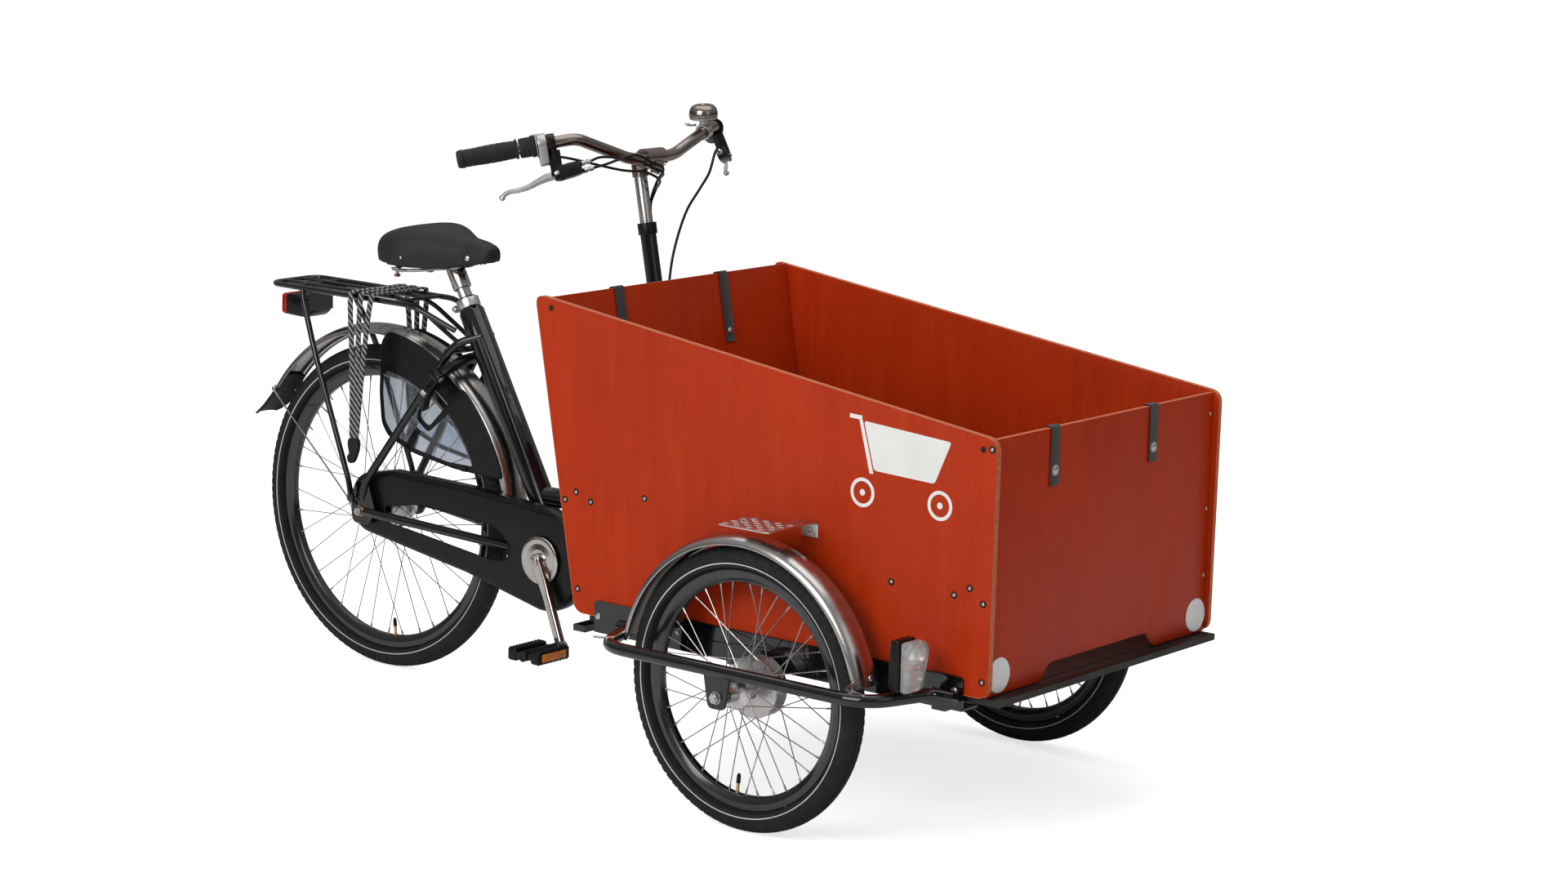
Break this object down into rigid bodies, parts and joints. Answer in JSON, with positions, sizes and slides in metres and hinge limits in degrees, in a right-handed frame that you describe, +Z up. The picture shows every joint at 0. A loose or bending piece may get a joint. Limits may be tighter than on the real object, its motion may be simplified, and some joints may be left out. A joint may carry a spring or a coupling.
{
  "type": "cargo tricycle",
  "caption": "Box tricycle: an open plywood cargo box on a steered front platform with two wheels, pushed by a pedalled rear end with rack, saddle and lock.",
  "frame": {"origin": "on the ground straight below the rear axle, in the middle plane", "axes": "+X towards the front of the box, +Y to the rider's left, +Z up"},
  "size_m": [2.0618, 0.995, 1.1673],
  "materials": {
    "bearing_bronze": "machined",
    "black_plastic": "satin",
    "bright_alloy": "polished",
    "chrome": "mirror",
    "dark_nickel": "dark plated",
    "elastic_webbing": "black and white woven cord",
    "floor_panel": "dark phenolic film",
    "frame_paint": "high gloss black",
    "grip_rubber": "moulded, matt",
    "rim_alloy": "gloss black anodised",
    "saddle_leather": "matt synthetic skin",
    "smoky_plastic": "smoky blue sheet",
    "stained_plywood": "orange-red stained, satin lacquer",
    "stainless": "polished stainless steel",
    "steel": "zinc plated",
    "tail_lamp": "clear red lens in a black housing",
    "tyre": "rubber with a silver reflective line"
  },
  "bodies": {
    "rear_frame": {"main_frame": "frame_paint", "head_bush": "bearing_bronze", "bottom_bracket": "steel", "chain_case": "black_plastic", "chain": "steel", "rear_mudguard": "stainless", "rear_rack": "frame_paint", "rear_light": "tail_lamp", "coat_guard_right": "smoky_plastic", "coat_guard_left": "smoky_plastic", "ring_lock_body": "black_plastic", "bungee_straps": "elastic_webbing", "seat_clamp": "bright_alloy", "rear_axle": "steel"},
    "lock_shackle": {"ring_lock_shackle": "steel"},
    "saddle": {"seat_post": "stainless", "saddle_frame": "chrome", "saddle_cover": "saddle_leather"},
    "crankset": {"crank_right": "chrome", "crank_left": "chrome", "chainring": "steel"},
    "pedal_right": {"pedal_right": "black_plastic"},
    "pedal_left": {"pedal_left": "black_plastic"},
    "rear_sprocket": {"rear_sprocket": "steel"},
    "rear_wheel": {"rear_tyre": "tyre", "rear_rim": "rim_alloy", "rear_hub": "bright_alloy"},
    "front_platform": {"platform_frame": "frame_paint", "kingpin": "steel", "floor_board": "floor_panel", "side_panel_right": "stained_plywood", "side_panel_left": "stained_plywood", "front_wall": "stained_plywood", "rear_wall": "stained_plywood", "wheel_guard_right": "frame_paint", "wheel_guard_left": "frame_paint", "front_mudguard_right": "stainless", "front_mudguard_left": "stainless", "step_plate_right": "bright_alloy", "step_plate_left": "bright_alloy", "headlight": "black_plastic", "front_axle_right": "steel", "front_axle_left": "steel"},
    "front_wheel_right": {"front_tyre_right": "tyre", "front_rim_right": "rim_alloy", "front_hub_right": "bright_alloy"},
    "front_wheel_left": {"front_tyre_left": "tyre", "front_rim_left": "rim_alloy", "front_hub_left": "bright_alloy"},
    "handlebar": {"handlebar_stem": "dark_nickel", "handlebar": "dark_nickel", "grip_right": "grip_rubber", "grip_left": "grip_rubber", "brake_bracket_right": "black_plastic", "brake_bracket_left": "black_plastic", "bell": "chrome"},
    "brake_lever_right": {"brake_lever_right": "bright_alloy"},
    "brake_lever_left": {"brake_lever_left": "bright_alloy"},
    "twist_grip": {"twist_grip": "grip_rubber"},
    "bell_lever": {"bell_lever": "steel"}
  },
  "joints": [
    {"name": "steering", "type": "hinge", "parent": "rear_frame", "child": "front_platform", "pos_m": [0.62, 0, 0.34], "axis": [0, 0, 1], "range_deg": [-30, 30]},
    {"name": "crank_spin", "type": "hinge", "parent": "rear_frame", "child": "crankset", "pos_m": [0.475, 0, 0.296], "axis": [0, 1, 0], "continuous": true},
    {"name": "pedal_right_spin", "type": "hinge", "parent": "crankset", "child": "pedal_right", "pos_m": [0.55218, -0.15, 0.14453], "axis": [0, 1, 0], "continuous": true},
    {"name": "pedal_left_spin", "type": "hinge", "parent": "crankset", "child": "pedal_left", "pos_m": [0.39782, 0.15, 0.44747], "axis": [0, 1, 0], "continuous": true},
    {"name": "rear_sprocket_spin", "type": "hinge", "parent": "rear_frame", "child": "rear_sprocket", "pos_m": [0, -0.047, 0.325], "axis": [0, 1, 0], "continuous": true},
    {"name": "rear_wheel_spin", "type": "hinge", "parent": "rear_frame", "child": "rear_wheel", "pos_m": [0, 0, 0.325], "axis": [0, 1, 0], "continuous": true},
    {"name": "front_wheel_right_spin", "type": "hinge", "parent": "front_platform", "child": "front_wheel_right", "pos_m": [1.266, -0.405, 0.248], "axis": [0, 1, 0], "continuous": true},
    {"name": "front_wheel_left_spin", "type": "hinge", "parent": "front_platform", "child": "front_wheel_left", "pos_m": [1.266, 0.405, 0.248], "axis": [0, 1, 0], "continuous": true},
    {"name": "handlebar_height", "type": "slide", "parent": "front_platform", "child": "handlebar", "axis": [-0.1914, 0, 0.9815], "range_m": [-0.03, 0.06]},
    {"name": "brake_lever_right_pull", "type": "hinge", "parent": "handlebar", "child": "brake_lever_right", "pos_m": [0.66497, -0.23673, 1.06237], "axis": [-0.6215, 0.6965, -0.3586], "range_deg": [0, 18]},
    {"name": "brake_lever_left_pull", "type": "hinge", "parent": "handlebar", "child": "brake_lever_left", "pos_m": [0.66497, 0.23673, 1.06237], "axis": [0.6215, 0.6965, 0.3586], "range_deg": [0, 18]},
    {"name": "gear_twist", "type": "hinge", "parent": "handlebar", "child": "twist_grip", "pos_m": [0.61542, -0.25883, 1.10893], "axis": [-0.6516, -0.7366, -0.1813], "range_deg": [0, 140]},
    {"name": "bell_thumb", "type": "hinge", "parent": "handlebar", "child": "bell_lever", "pos_m": [0.6474, 0.16276, 1.12962], "axis": [0, 0, 1], "range_deg": [0, 30]},
    {"name": "saddle_height", "type": "slide", "parent": "rear_frame", "child": "saddle", "axis": [-0.4844, 0, 0.8749], "range_m": [-0.01, 0.08]},
    {"name": "lock_close", "type": "hinge", "parent": "rear_frame", "child": "lock_shackle", "pos_m": [0.18815, 0, 0.58877], "axis": [-0.8141, 0, 0.5807], "range_deg": [0, 115]}
  ],
  "couplings": [
    {"joint": "rear_sprocket_spin", "follows": "crank_spin", "ratio": 2.5333}
  ]
}
